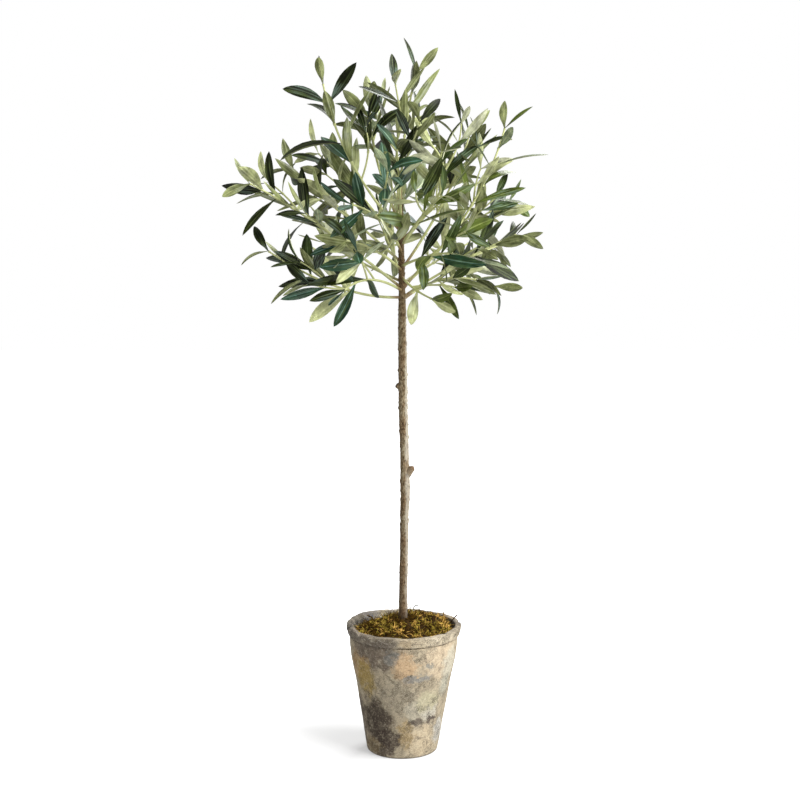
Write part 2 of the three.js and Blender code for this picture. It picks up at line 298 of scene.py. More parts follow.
# Weathered patches, and one of painted shade at the left end of the lip: compass angle round the pot, where 0
# faces the front and 90 the right, then the height, half width and half height in millimetres, and the
# colour. Front ones come first and back ones last.
CLAY_PATCHES = [
    (-30, 136, 38, 18, "64594e"),
    (-10, 136, 11, 9, "6e6c66"),
    (-58, 117, 19, 20, "a3855e"),
    (-50, 104, 18, 24, "95804c"),
    (-80, 158, 34, 10, "57504a"),
    (-118, 159, 29, 11, "44423f"),
    # Painted shade: this dark patch at the left end of the lip stands for the shade there.
    (-94, 160, 24, 9, "3b3a38"),
    (96, 160, 16, 7, "5b544b"),
    (-138, 160, 16, 9, "5d5e61"),
    (-166, 158, 18, 10, "b9b19b"),
    (-42, 156, 30, 10, "665d52"),
    (-16, 154, 12, 10, "71685d"),
    (16, 157, 22, 9, "bfb094"),
    (44, 157, 26, 9, "cabda3"),
    (2, 156, 9, 8, "b5a384"),
    (-78, 46, 18, 32, "665b50"),
    (-38, 48, 23, 34, "3a3029"),
    (-32, 13, 16, 11, "544a40"),
    (-20, 26, 18, 13, "41372f"),
    (3, 124, 15, 22, "b99d7a"),
    (48, 128, 32, 24, "bfad92"),
    (28, 127, 5, 6, "8d8a80"),
    (16, 109, 20, 5, "82807a"),
    (58, 98, 11, 20, "9d9a8a"),
    (-6, 84, 24, 26, "978d79"),
    (18, 62, 16, 18, "a39c8a"),
    (38, 60, 12, 11, "b8b2a2"),
    (62, 30, 14, 16, "b3afa5"),
    (62, 122, 16, 20, "b9b29f"),
    (34, 77, 18, 12, "aaa387"),
    (40, 50, 8, 6, "514741"),
    (20, 48, 10, 4, "63594f"),
    (30, 22, 21, 22, "bbab8f"),
    (4, 34, 9, 22, "9b8763"),
    (-52, 14, 16, 10, "78694f"),
    (150, 135, 45, 24, "8b8374"),
    (205, 72, 34, 38, "8f8873"),
    (112, 45, 26, 30, "b5a98f"),
    (252, 74, 22, 34, "9c9078"),
    (102, 120, 24, 20, "b09b77"),
    (165, 128, 24, 14, "766e63"),
    (130, 72, 20, 26, "6c6257"),
    (141, 54, 12, 18, "554a40"),
    (122, 95, 10, 10, "7d7466"),
    (172, 48, 20, 22, "b39f7e"),
    (184, 90, 18, 12, "b9ad92"),
    (206, 108, 18, 18, "8e8258"),
    (216, 84, 11, 16, "9a8e66"),
    (232, 43, 24, 18, "5d5349"),
    (220, 26, 17, 10, "4e443b"),
    (245, 60, 8, 14, "70665a"),
    (248, 118, 18, 20, "b39c77"),
    (236, 140, 26, 11, "786e62"),
    (190, 18, 22, 12, "a89879"),
    (150, 16, 22, 11, "7a6e5d"),
    (178, 157, 28, 9, "8d8475"),
    (140, 157, 22, 9, "6a6156"),
]
CLAY_BASE = "a1957e"
PATCH_FADE = (0.7, 1.25, 0.9, 0)  # a patch is 0.9 solid out to 0.7 of its half size, and gone at 1.25
# The clay's patterns, as noise scales: one over their size in metres.
EDGES = 85  # the edges of the patches wander over 12 mm
EDGE_WANDER = 0.036  # and by this much for a full swing of the noise
BLOOM = 95  # cloudy lime bloom and soot, in soft blotches of about 10 mm
MOTTLE = 430  # sandy mottling of 2 mm, drawn coarser than the grains, which are too fine to show
GROUPS = 42  # cracks and pits lie in loose groups, 24 mm across
HAIRS = 60  # hair cracks turn every 17 mm
PITS = 260  # dark pits a millimetre across, 4 mm apart
SCORES = (110, 110, 760)  # scores round the lip, 9 mm long and a little over 1 mm apart


def weathered_clay():
    """Unglazed terracotta under lime and soot: dull, dusty, blotched, with pits and a fine sandy grain, and
    painted shade inside the rim, in the groove under the lip, on the foot, along the top of the rim and at
    the left end of the lip.
    """
    material = new_material("weathered terracotta", roughness=0.93, specular=0.2)
    place = add_node(material, "TexCoord", output="Object")
    height, across = (add_node(material, "SeparateXYZ", [place], axis) for axis in "ZX")
    edges = {"Vector": place, "Scale": EDGES, "Detail": 7, "Roughness": 0.72}
    drift = add_node(material, "TexNoise", edges, "Color")
    drift = add_node(material, "VectorMath", [drift, (0.5, 0.5, 0.5)], operation="SUBTRACT")
    wander = add_node(material, "VectorMath", [drift, (EDGE_WANDER,) * 3, place], operation="MULTIPLY_ADD")
    tint = CLAY_BASE
    for angle, *sizes, stain in CLAY_PATCHES:
        up, half_width, half_height = (size / 1000 for size in sizes)
        turn = math.radians(angle)
        radius = pot_wall_radius(up)
        centre = (radius * math.sin(turn), -radius * math.cos(turn), up)
        offset = add_node(material, "VectorMath", [wander, centre], operation="SUBTRACT")
        fit = (1 / half_width, 1 / half_width, 1 / half_height)
        fitted = add_node(material, "VectorMath", [offset, fit], operation="MULTIPLY")
        distance = add_node(material, "VectorMath", [fitted], "Value", operation="LENGTH")
        tint = stained(material, tint, stain, [distance, *PATCH_FADE])
    cloud = {"Vector": place, "Scale": BLOOM, "Detail": 8, "Roughness": 0.75, "Distortion": 0.5}
    bloom = add_node(material, "TexNoise", cloud)
    tint = stained(material, tint, "b9ae96", [bloom, 0.5, 0.7, 0, 0.5])
    tint = stained(material, tint, "564b40", [bloom, 0.3, 0.48, 0.6, 0])
    sand = {"Vector": place, "Scale": MOTTLE, "Detail": 5, "Roughness": 0.75}
    mottle = add_node(material, "TexNoise", sand)
    tint = toned(material, tint, [mottle, 0.33, 0.68, 0.74, 1.05])
    tint = stained(material, tint, "b0a694", [mottle, 0.55, 0.64, 0, 0.4])
    # Hair cracks run along the middle value of a noise, and pits lie between their groups.
    groups = add_node(material, "TexNoise", {"Vector": place, "Scale": GROUPS, "Detail": 3})
    hairs = {"Vector": wander, "Scale": HAIRS, "Detail": 5, "Roughness": 0.7, "Distortion": 1.0}
    off_line = add_node(material, "Math", [add_node(material, "TexNoise", hairs), 0.5], operation="SUBTRACT")
    off_line = add_node(material, "Math", [off_line], operation="ABSOLUTE")
    crack = joint_share(material, [off_line, 0.004, 0.02, 0.9, 0], [groups, 0.42, 0.52, 0, 1])
    pits = add_node(material, "TexVoronoi", {"Vector": wander, "Scale": PITS})
    pit = joint_share(material, [pits, 0.12, 0.3, 0.8, 0], [groups, 0.4, 0.58, 1, 0])
    hollow = add_node(material, "Math", [crack, pit], operation="MAXIMUM")
    # The groove under the lip is painted dark as painted shade, broken here and there.
    off_groove = add_node(material, "Math", [height, LIP_FOOT - 0.0002], operation="SUBTRACT")
    off_groove = add_node(material, "Math", [off_groove], operation="ABSOLUTE")
    groove = joint_share(material, [off_groove, 0.0003, 0.0014, 0.9, 0], [bloom, 0.4, 0.55, 1, 0])
    tint = stained(material, tint, "352c24", groove)
    # The lip is scored round and round by wear, and flecked with lime.
    flat = add_node(material, "VectorMath", [wander, SCORES], operation="MULTIPLY")
    score = add_node(material, "TexNoise", {"Vector": flat, "Scale": 1, "Detail": 6, "Roughness": 0.78})
    on_lip = [height, LIP_FOOT - 0.002, LIP_FOOT + 0.002, 0, 1]
    scored = joint_share(material, [score, 0.38, 0.47, 0.9, 0], on_lip)
    limed = joint_share(material, [score, 0.54, 0.6, 0, 0.5], on_lip)
    tint = stained(material, tint, "3d342b", scored)
    tint = stained(material, tint, "cfc5b2", limed)
    # Inside the lip, the inner wall is painted dark on the right as painted shade under the rim, and lime has
    # dried on it at the back left.
    under_rim = [height, POT_HEIGHT - 0.018, POT_HEIGHT - 0.013, 0, 0.8]
    painted_shade = joint_share(material, [across, 0, 0.03, 0, 1], under_rim)
    flat_place = add_node(material, "VectorMath", [place, (1, 1, 0)], operation="MULTIPLY")
    off_axis = add_node(material, "VectorMath", [flat_place], "Value", operation="LENGTH")
    tint = stained(material, tint, "2e261d", [off_axis, 0.0665, 0.068, painted_shade, 0])
    # The foot is painted dark along its bottom edge, and the top of the rim a little darker, both as painted
    # shade.
    tint = stained(material, tint, "40382f", [height, 0.0005, 0.0025, 0.75, 0])
    tint = stained(material, tint, "6f665a", [height, POT_HEIGHT - 0.003, POT_HEIGHT, 0, 0.35])
    tint = stained(material, tint, "2f271f", hollow)
    hollow = add_node(material, "Math", [hollow, scored], operation="MAXIMUM")
    grain = add_node(material, "Math", [mottle, hollow], operation="SUBTRACT")
    return finished(material, tint, grain, 0.6, 0.0008)


pot_shape = turned(pot_section(), POT_SEGMENTS, POT_STEP)
wear_pot(pot_shape)
add_piece("clay_pot", shown_mesh("clay_pot", pot_shape), ["pot"], [weathered_clay()])

# ---- filling ----
# Plaster, poured round the foot of the trunk to hold it upright and to weigh the pot down. The moss hides
# it, so it stays the plain solid that the frame has.
PLASTER_GRAIN = 300  # noise scale of sandy grains and small trapped bubbles, 3 mm apart


def cast_plaster():
    """Plaster set in the pot: off-white, dull and slightly grainy."""
    material = new_material("cast plaster", roughness=0.95, specular=0.3)
    place = add_node(material, "TexCoord", output="Object")
    grain = add_node(material, "TexNoise", {"Vector": place, "Scale": PLASTER_GRAIN, "Detail": 3})
    return finished(material, stained(material, "827c70", "a9a497", grain), grain, 1.0, 0.0005)


filling_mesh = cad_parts["filling"].data
filling_mesh.materials.clear()
filling_mesh.materials.append(cast_plaster())

# ---- moss ----
# Dried moss, dyed olive and ochre, tucked round the trunk in loose clumps over the filling. A lumpy mound
# is the dark mass inside it, dyed darker still as painted shade for the depths between the fronds, and
# thousands of short curled fronds stand out of it, each a fine tube.
MOSS_EDGE_RADIUS = 0.0614
MOSS_EDGE_HEIGHT = 0.1555
MOSS_EDGE_BEVEL = (0.001, 0.002)  # inwards and downwards
MOSS_CROWN_HEIGHT = 0.170
MOSS_FOOT = 0.1435
MOSS_FOOT_INSET = 0.002
TRUNK_FOOT_RADIUS = 0.0056
TRUNK_GAP = 0.0006
MOUND_SEGMENTS = 120
MOUND_STEP = 0.0015
MOUND_SINK = 0.001  # how far the mound lies under the height at which the moss is set
CLUMP_SIZE = 0.012
CLUMP_RISE = 0.0055
# Where the moss lies lower or higher: a heading (x, y), the reaches along it between which the height
# changes, and the change.
MOSS_SLOPES = [
    (-0.5, 0.87, 0.015, 0.045, -0.0035),  # lower at the back left, where the pot's inner wall shows
    (0.87, 0.5, 0.005, 0.035, 0.005),  # higher at the back right, where it hides the rim
    (0.9, -0.43, 0.036, 0.052, -0.004),  # lower at the front right, in the rim's shade
]
FROND_COUNT = 5200
MOSS_SEED = 11
FROND_AREA = (0.012, 0.97)  # the share of the moss's area within which fronds stand
FROND_ROOT = 0.0015  # how deep they are rooted
FROND_LENGTH = (0.006, 0.015)
FROND_RADIUS = 0.00056  # thicker than real moss, which is too fine to show
FROND_THICKNESS = (0.6, 1.4)
FROND_TAPER = 0.75  # how much of its width a frond loses by its tip
FROND_STEPS = 6
FROND_CURL = 1.1  # the most that a frond curls over in a step, in radians
FROND_TURN = 900  # how far the side to which it curls turns, in radians for each metre of its length
FROND_LEAN = (-0.1, 0.5)  # how steeply fronds leave the moss, against a sideways lean of up to 1
GAPS = 105  # noise scale of the gaps between clumps, 10 mm apart
GAP_SHARE = -0.04  # the noise under which no frond stands, so that the dark mound, painted as shade, shows
DYE_CLUMPS = 75  # noise scale of the clumps of one dye, 13 mm apart
DYE_SPREAD = 0.3  # how far single fronds stray from their clump's dye
DYE_TO_FRONT = 4  # how much more of the bright dyes there is for each metre towards the front
OCHRE_FROM, OLIVE_FROM = 0.28, -0.02  # the dye's values over which a frond is ochre or olive, and not umber
DARK_FOOT_RADIUS, DARK_FOOT = 0.018, -0.5  # the moss is dark round the trunk
BRIGHT_BACK_RIGHT, BRIGHTER = (0.03, 0), 0.35  # brighter past this x and y
DARK_FRONT_LEFT, DARKER = (-0.01, -0.015), -0.18  # darker short of this x and y
# Loose fibres that stick up out of the moss, each as the points that it runs through.
STRAY_FIBRES = [
    [
        (0.014, 0.045, 0.158),
        (0.0135, 0.045, 0.168),
        (0.0145, 0.045, 0.172),
        (0.017, 0.045, 0.1745),
        (0.02, 0.045, 0.1735),
    ],
    [(0.0615, 0.020, 0.158), (0.065, 0.020, 0.163), (0.070, 0.020, 0.1685)],
    [(0.052, 0.035, 0.157), (0.0525, 0.035, 0.163), (0.0532, 0.035, 0.168)],
    [(-0.036, 0.020, 0.158), (-0.040, 0.020, 0.165), (-0.046, 0.019, 0.168)],
    [(0.028, -0.046, 0.157), (0.033, -0.050, 0.162), (0.039, -0.051, 0.163)],
]
FIBRE_RADIUS = 0.0008
# The dyes, each at its darkest and its lightest.
MOSS_DYES = {
    "olive": ("1c1404", "aa953d"),
    "ochre": ("3c2608", "efc066"),
    "umber": ("140b02", "573f10"),
    "bleached": ("66665c", "98988e"),
}
# The mound's colours: the moss's own dark, deepened as painted shade for the depths between the fronds.
DEEP_MOSS_AND_SHADE = ("160e04", "3a280c")
MOSS_TUFTS = 260  # noise scale of the uneven dye, 4 mm apart


def moss_height(x, y):
    """Height of the moss's surface, which domes up to the trunk and is lumpy all over."""
    share = 1 - min(math.hypot(x, y) / MOSS_EDGE_RADIUS, 1)
    dome = MOSS_EDGE_HEIGHT + (MOSS_CROWN_HEIGHT - MOSS_EDGE_HEIGHT) * math.sin(share * math.pi / 2)
    height = dome + CLUMP_RISE * noise.noise(Vector((x, y, 0.3)) / CLUMP_SIZE)
    for along_x, along_y, low, high, change in MOSS_SLOPES:
        height += change * climb(along_x * x + along_y * y, low, high)
    return height


def moss_mound():
    """The mound itself: a thick ring between the trunk and the pot, its top pushed up into lumps."""
    inner = TRUNK_FOOT_RADIUS + TRUNK_GAP
    bevel_in, bevel_down = MOSS_EDGE_BEVEL
    section = [
        (inner, MOSS_FOOT),
        (MOSS_EDGE_RADIUS - MOSS_FOOT_INSET, MOSS_FOOT),
        (MOSS_EDGE_RADIUS, MOSS_EDGE_HEIGHT - bevel_down),
        (MOSS_EDGE_RADIUS - bevel_in, MOSS_EDGE_HEIGHT),
        (inner, MOSS_CROWN_HEIGHT),
        (inner, MOSS_FOOT),
    ]
    mound = turned(section, MOUND_SEGMENTS, MOUND_STEP)
    for vertex in mound.verts:
        if vertex.co.z > MOSS_EDGE_HEIGHT - MOUND_SINK:
            vertex.co.z = moss_height(vertex.co.x, vertex.co.y) - MOUND_SINK
    # The upper rows of the ring's inner wall now lie at one height, and are merged into one.
    bmesh.ops.remove_doubles(mound, verts=mound.verts[:], dist=1e-6)
    return mound


def tubes(name, runs, sides=4):
    """One mesh of closed round tubes. Each run is a list of (point, radius)."""
    curve = bpy.data.curves.new(name, "CURVE")
    curve.dimensions = "3D"
    curve.bevel_depth = 1.0
    curve.bevel_resolution = (sides - 4) // 2
    curve.use_fill_caps = True
    for run in runs:
        spline = curve.splines.new("POLY")
        spline.points.add(len(run) - 1)
        for point, (place, radius) in zip(spline.points, run):
            point.co = (*place, 1)
            point.radius = radius
    carrier = bpy.data.objects.new(name, curve)
    mesh = bpy.data.meshes.new_from_object(carrier)
    mesh.name = name
    bpy.data.objects.remove(carrier)
    bpy.data.curves.remove(curve)
    mesh.shade_smooth()
    return mesh


def frond(root, lean, length, curl, radius):
    """A short run that leaves its root along lean and curls over sideways as it goes."""
    side = lean.orthogonal().normalized()
    side.rotate(Matrix.Rotation(length * FROND_TURN, 3, lean))
    way = lean.copy()
    place = root.copy()
    run = []
    for step in range(FROND_STEPS + 1):
        run.append((place.copy(), radius * (1 - FROND_TAPER * step / FROND_STEPS)))
        way.rotate(Matrix.Rotation(curl, 3, side))
        place += way * length / FROND_STEPS
    return run


def frond_dye(x, y, stray):
    """The dye of a frond that stands at x, y and strays a little from the dye of its clump."""
    dye = noise.noise(Vector((x, y, 3)) * DYE_CLUMPS) + stray - y * DYE_TO_FRONT
    if math.hypot(x, y) < DARK_FOOT_RADIUS:
        dye += DARK_FOOT
    if x > BRIGHT_BACK_RIGHT[0] and y > BRIGHT_BACK_RIGHT[1]:
        dye += BRIGHTER
    if x < DARK_FRONT_LEFT[0] and y < DARK_FRONT_LEFT[1]:
        dye += DARKER
    return "ochre" if dye > OCHRE_FROM else "olive" if dye > OLIVE_FROM else "umber"


def moss_fronds(rng):
    """The runs of the fronds and loose fibres of each dye."""
    dealt = {dye: [] for dye in MOSS_DYES}
    for _ in range(FROND_COUNT):
        reach = MOSS_EDGE_RADIUS * math.sqrt(rng.uniform(*FROND_AREA))
        turn = rng.uniform(0, math.tau)
        x, y = reach * math.cos(turn), reach * math.sin(turn)
        if noise.noise(Vector((x, y, 0.09)) * GAPS) < GAP_SHARE:
            continue
        root = Vector((x, y, moss_height(x, y) - FROND_ROOT))
        lean = Vector((rng.uniform(-1, 1), rng.uniform(-1, 1), rng.uniform(*FROND_LEAN))).normalized()
        dye = frond_dye(x, y, rng.uniform(-DYE_SPREAD, DYE_SPREAD))
        length = rng.uniform(*FROND_LENGTH)
        curl = rng.uniform(-FROND_CURL, FROND_CURL)
        dealt[dye].append(frond(root, lean, length, curl, FROND_RADIUS * rng.uniform(*FROND_THICKNESS)))
    fibres = [[(Vector(point), FIBRE_RADIUS) for point in fibre] for fibre in STRAY_FIBRES]
    dealt["bleached"] += fibres[:1]
    dealt["umber"] += fibres[1:]
    return dealt


def dried_moss(name, dark, light):
    """Dyed dry moss: dull and fibrous, its colour uneven along each frond."""
    material = new_material(name, roughness=0.9, specular=0.05)
    place = add_node(material, "TexCoord", output="Object")
    tuft = {"Vector": place, "Scale": MOSS_TUFTS, "Detail": 3, "Roughness": 0.7}
    tuft = add_node(material, "TexNoise", tuft)
    share = add_node(material, "MapRange", [tuft, 0.36, 0.64])
    return finished(material, stained(material, dark, light, share), tuft, 0.5, 0.0004)


mound_mesh = shown_mesh("moss_mound", moss_mound())
add_piece("moss_mound", mound_mesh, ["moss"], [dried_moss("dried moss, deep", *DEEP_MOSS_AND_SHADE)])
for dye_name, runs in moss_fronds(random.Random(MOSS_SEED)).items():
    frond_mesh = tubes(f"moss_fronds_{dye_name}", runs)
    dye = dried_moss(f"dried moss, {dye_name}", *MOSS_DYES[dye_name])
    add_piece(f"moss_fronds_{dye_name}", frond_mesh, ["moss"], [dye])

# ---- trunk ----
# A natural pole with its bark on, cut flat at the foot and standing in the filling. The bark is knobbly,
# with fine ridges along it, and the stubs of two pruned side shoots show their pale cut ends.
# The pole's radius at each height, and how far it sways off the upright, as (height, x, y).
TRUNK_TAPER = [
    (0.060, 0.0056),
    (0.161, 0.0056),
    (0.200, 0.0053),
    (0.290, 0.0052),
    (0.318, 0.0056),
    (0.338, 0.0062),
    (0.362, 0.0055),
    (0.480, 0.0055),
    (0.555, 0.0049),
    (0.580, 0.0043),
    (0.614, 0.0037),
    (0.700, 0.0024),
]
TRUNK_SWAY = [
    (0.060, 0, 0),
    (0.180, 0.0002, 0),
    (0.300, 0.0018, -0.0008),
    (0.332, 0.0029, -0.0004),
    (0.375, 0.0020, 0.0006),
    (0.450, 0, 0.001),
    (0.560, -0.001, 0),
    (0.640, -0.002, 0.001),
    (0.700, -0.0025, 0),
]
TRUNK_SIDES = 48
BARK_STEP = 0.0008
# Pruned stubs: height, compass heading from +X, upward tilt, length, radius, and the colour of the cut.
STUBS = [(0.350, -15, 56, 0.0182, 0.0040, "5f4a36"), (0.463, 175, 34, 0.0102, 0.0032, "3b3228")]
STUB_STEPS = 16
STUB_FLARE = 0.15  # how much thicker a stub is at its root
STUB_ROUND_FROM = 0.85  # the share of its length from which a stub rounds off
STUB_ROUND = 0.4  # and how much of its thickness it loses by its end
STUB_END = 1.2  # how far the colour of the cut reaches down a stub, in its radii
# The bark's relief: noise scales across and up the trunk, and heights.
RIDGES, RIDGES_UP, RIDGE_HEIGHT = 420, 260, 0.0003  # fine ridges, 2 mm apart and 4 mm long
KNOBS, KNOBS_UP, KNOB_HEIGHT = 2.2, 190, 0.0028  # knobs 5 mm high, a few round the trunk
KNOB_FROM = 0.3  # the noise above which there is a knob
WAISTS, WAIST_HEIGHT = 45, 0.00025  # the trunk waists and swells every 22 mm
FLAKES = 540  # noise scale of the bark's flakes, 2 mm across
FLAKE_STRETCH = 0.55  # which makes them twice as long up the trunk
BARK_PATCHES = 75  # patches 13 mm across


def between(table, height):
    """Reads a table of rows that start with a height, smoothly between its rows."""
    for low, high in zip(table, table[1:]):
        if height <= high[0]:
            share = climb(height, low[0], high[0])
            eased = share * share * (3 - 2 * share)
            return [a + (b - a) * eased for a, b in zip(low[1:], high[1:])]
    return list(table[-1][1:])


def trunk_point(height):
    """The middle of the trunk at a height."""
    return Vector((*between(TRUNK_SWAY, height), height))


def stub_way(heading, tilt):
    """The direction in which a stub points."""
    turn, rise = math.radians(heading), math.radians(tilt)
    return Vector((math.cos(turn) * math.cos(rise), math.sin(turn) * math.cos(rise), math.sin(rise)))


def stub_run(height, heading, tilt, length, radius, _):
    """Points and radii along a stub, from the middle of the trunk to its cut."""
    run = []
    for step in range(STUB_STEPS + 1):
        share = step / STUB_STEPS
        rounding = STUB_ROUND * max((share - STUB_ROUND_FROM) / (1 - STUB_ROUND_FROM), 0) ** 2
        girth = radius * (1 - rounding) * (1 + STUB_FLARE * (1 - share))
        run.append((trunk_point(height) + stub_way(heading, tilt) * length * share, girth))
    return run


def trunk_mesh():
    """The pole and its stubs as tubes, with the bark's relief pressed into their skin."""
    low, high = TRUNK_TAPER[0][0], TRUNK_TAPER[-1][0]
    steps = round((high - low) / BARK_STEP)
    heights = [low + (high - low) * step / steps for step in range(steps + 1)]
    pole = [(trunk_point(height), between(TRUNK_TAPER, height)[0]) for height in heights]
    mesh = tubes("trunk_bark", [pole, *(stub_run(*stub) for stub in STUBS)], TRUNK_SIDES)
    for vertex in mesh.vertices:
        place = vertex.co.copy()
        core = trunk_point(place.z)
        out = Vector((place.x - core.x, place.y - core.y, 0))
        if out.length < 1e-5:
            continue
        out.normalize()
        ridge_place = Vector((place.x * RIDGES, place.y * RIDGES, place.z * RIDGES_UP))
        ridges = noise.fractal(ridge_place, 0.9, 2.2, 3) * RIDGE_HEIGHT
        knob_place = Vector((out.x * KNOBS, out.y * KNOBS, place.z * KNOBS_UP))
        knobs = max(noise.noise(knob_place) - KNOB_FROM, 0) * KNOB_HEIGHT
        waists = noise.noise(Vector((3, 7, place.z * WAISTS))) * WAIST_HEIGHT
        vertex.co = place + out * (ridges + knobs + waists)
    return mesh


def bark():
    """Dry olive-wood bark: grey and red-brown, speckled with pale lichen and dark pores, finely cracked, with
    painted light down its right side and painted shade down its left.
    """
    material = new_material("natural bark", roughness=0.9, specular=0.2)
    place = add_node(material, "TexCoord", output="Object")
    height, sideways = (add_node(material, "SeparateXYZ", [place], axis) for axis in "ZX")
    along = add_node(material, "Mapping", {"Vector": place, "Scale": (1, 1, FLAKE_STRETCH)})
    flake = {"Vector": along, "Scale": FLAKES, "Detail": 4, "Roughness": 0.72}
    flake = add_node(material, "TexNoise", flake)
    patch = {"Vector": along, "Scale": BARK_PATCHES, "Detail": 4, "Roughness": 0.6}
    patch = add_node(material, "TexNoise", patch)
    brown = stained(material, "4a3722", "5b4d34", [patch, 0.38, 0.62, 0, 1])
    pale = stained(material, "806e54", "928870", [patch, 0.38, 0.62, 0, 1])
    tint = stained(material, brown, pale, [flake, 0.4, 0.64, 0, 1])
    # Its right side, which faces the key light, is painted pale grey as painted light. Its left side is
    # painted dark as painted shade, the more so the lower down.
    across = add_node(material, "Math", [patch, 0.006, sideways], operation="MULTIPLY_ADD")
    tint = stained(material, tint, "a8a294", [across, 0.005, 0.0072, 0, 0.62])
    painted_shade = add_node(material, "MapRange", [height, 0.2, 0.42, 0.38, 0.1], **SMOOTH)
    tint = stained(material, tint, "3a2814", [across, 0.001, 0.0045, painted_shade, 0])
    # It turns red-brown inside the crown, and darker down to the moss, with painted shade just above the
    # moss. Dark pores show all over it.
    tint = stained(material, tint, "56432b", [height, 0.535, 0.6, 0, 0.7])
    tint = stained(material, tint, "5c4835", [height, 0.17, 0.38, 0.4, 0])
    tint = stained(material, tint, "35291d", [height, 0.168, 0.186, 0.75, 0])
    tint = stained(material, tint, "2c2015", [flake, 0.34, 0.45, 0.8, 0])
    # The stubs are browner, and their cut ends have a colour of their own.
    for stub_height, heading, tilt, length, radius, cut_colour in STUBS:
        end = trunk_point(stub_height) + stub_way(heading, tilt) * length
        off_end = add_node(material, "VectorMath", [place, tuple(end)], "Value", operation="DISTANCE")
        wood = stained(material, "4b3a28", "8a7658", flake)
        tint = stained(material, tint, wood, [off_end, length * 0.5, length * 0.75, 0.75, 0])
        reach = radius * STUB_END
        tint = stained(material, tint, cut_colour, [off_end, reach * 0.8, reach * 1.2, 0.85, 0])
    return finished(material, tint, flake, 1.0, 0.0014)


add_piece("trunk_bark", trunk_mesh(), ["trunk"], [bark()])

# ---- boughs ----
# Plastic-coated wires, wired to the trunk one above another and bent outwards. Each is brown like the bark
# at its root, turns yellow-green within a few centimetres, and runs on to the tip of its spray.
# Each row gives the bough's root as a height on the trunk, its compass heading from +X, the reach and rise
# to its tip, how far its middle leads outwards, sways sideways and bows up, the roll of its last pair of
# leaves, 0 where they spread up and down and 90 where they spread sideways, and the seed of its spray.
BOUGHS = {
    "low_left": (0.578, -171, 0.166, 0.057, -0.004, 0.003, -0.016, 15, 3),
    "long_left": (0.589, -169, 0.188, 0.127, 0.015, 0, 0.017, 10, 8),
    "rising_left": (0.621, 166, 0.141, 0.114, 0.005, -0.001, 0.005, 20, 6),
    "top_left": (0.658, -171, 0.098, 0.178, 0.014, 0.002, -0.004, 90, 6),
    "inner_left": (0.664, 135, 0.057, 0.150, 0.012, 0.005, 0.011, 30, 14),
    "top": (0.679, -18, 0.017, 0.172, -0.005, -0.004, 0.001, 0, 10),
    "curling_right": (0.648, -68, 0.048, 0.126, 0.031, 0.031, 0.009, 20, 12),
    "upper_right": (0.612, 14, 0.085, 0.167, 0.012, 0, 0.004, 10, 10),
    "high_right": (0.590, -14, 0.126, 0.192, 0.018, -0.005, -0.006, 0, 24),
    "middle_right": (0.586, 17, 0.137, 0.108, -0.004, 0.002, 0.010, 10, 8),
    "low_right": (0.577, -10, 0.140, 0.078, -0.007, -0.009, 0.000, 10, 16),
    "lowest_right": (0.574, 17, 0.120, 0.016, 0.001, 0.007, 0.018, 20, 3),
    "dropping_right": (0.604, -59, 0.065, -0.025, 0, -0.004, -0.001, 60, 3),
    "front_drop": (0.586, -126, 0.117, 0.005, 0.012, 0.005, 0.013, 80, 13),
    "front_left": (0.634, -116, 0.134, 0.056, 0.007, 0.009, 0.009, 60, 10),
    "front_right": (0.640, -67, 0.114, 0.060, 0.006, -0.005, 0.003, 10, 14),
    "front_low": (0.616, -66, 0.137, 0.019, 0.006, -0.005, 0.003, 80, 7),
    "front_top": (0.663, -95, 0.085, 0.091, 0.007, 0.001, 0.006, 50, 14),
    "front_middle": (0.611, -121, 0.129, 0.038, 0.004, 0.003, 0.007, 0, 15),
    "back_low_left": (0.597, 134, 0.146, 0.047, 0.008, -0.002, 0, 60, 20),
    "back_left": (0.641, 131, 0.133, 0.103, 0.006, 0, 0.006, 20, 21),
    "back_low": (0.604, 98, 0.151, 0.050, 0.005, 0, 0, 80, 22),
    "back_middle": (0.648, 84, 0.151, 0.065, 0.004, 0.012, 0.005, 40, 23),
    "back_top": (0.678, 91, 0.095, 0.131, 0.003, 0.006, 0.006, 0, 24),
    "back_right": (0.643, 56, 0.121, 0.101, 0.006, 0, -0.002, 70, 25),
    "back_low_right": (0.594, 53, 0.143, 0.049, 0.005, 0.006, 0.001, 30, 26),
}
BOUGH_RADII = (0.0018, 0.0011)  # at its root and at its tip
BOUGH_SIDES = 12
BOUGH_STEP = 0.003
FOLIAGE_ENTRY = 0.4  # share of a bough's length at which its foliage starts
CURVE_MARKS = 16  # the stretches in which a stem's length is measured
STEM_STREAKS = 140  # noise scale of the streaks in the coating, 7 mm long


class Stem:
    """A curved stem from start through middle to tip, thinning as it goes."""

    def __init__(self, start, middle, tip, radii):
        self.start, self.tip, self.radii = start, tip, radii
        self.control = middle * 2 - (start + tip) / 2
        marks = [self.at(mark / CURVE_MARKS) for mark in range(CURVE_MARKS + 1)]
        self.length = sum((high - low).length for low, high in zip(marks, marks[1:]))

    def at(self, share):
        """The point at a share of the stem's length."""
        back = 1 - share
        return self.start * back * back + self.control * 2 * back * share + self.tip * share * share

    def way(self, share):
        """The direction in which the stem runs there."""
        return ((self.control - self.start) * (1 - share) + (self.tip - self.control) * share).normalized()

    def radius(self, share):
        """The stem's radius there."""
        return self.radii[0] + (self.radii[1] - self.radii[0]) * share

    def run(self, first, last, step):
        """Points and radii along a stretch of the stem."""
        count = max(int(self.length * (last - first) / step), 3)
        shares = [first + (last - first) * i / count for i in range(count + 1)]
        return [(self.at(share), self.radius(share)) for share in shares]


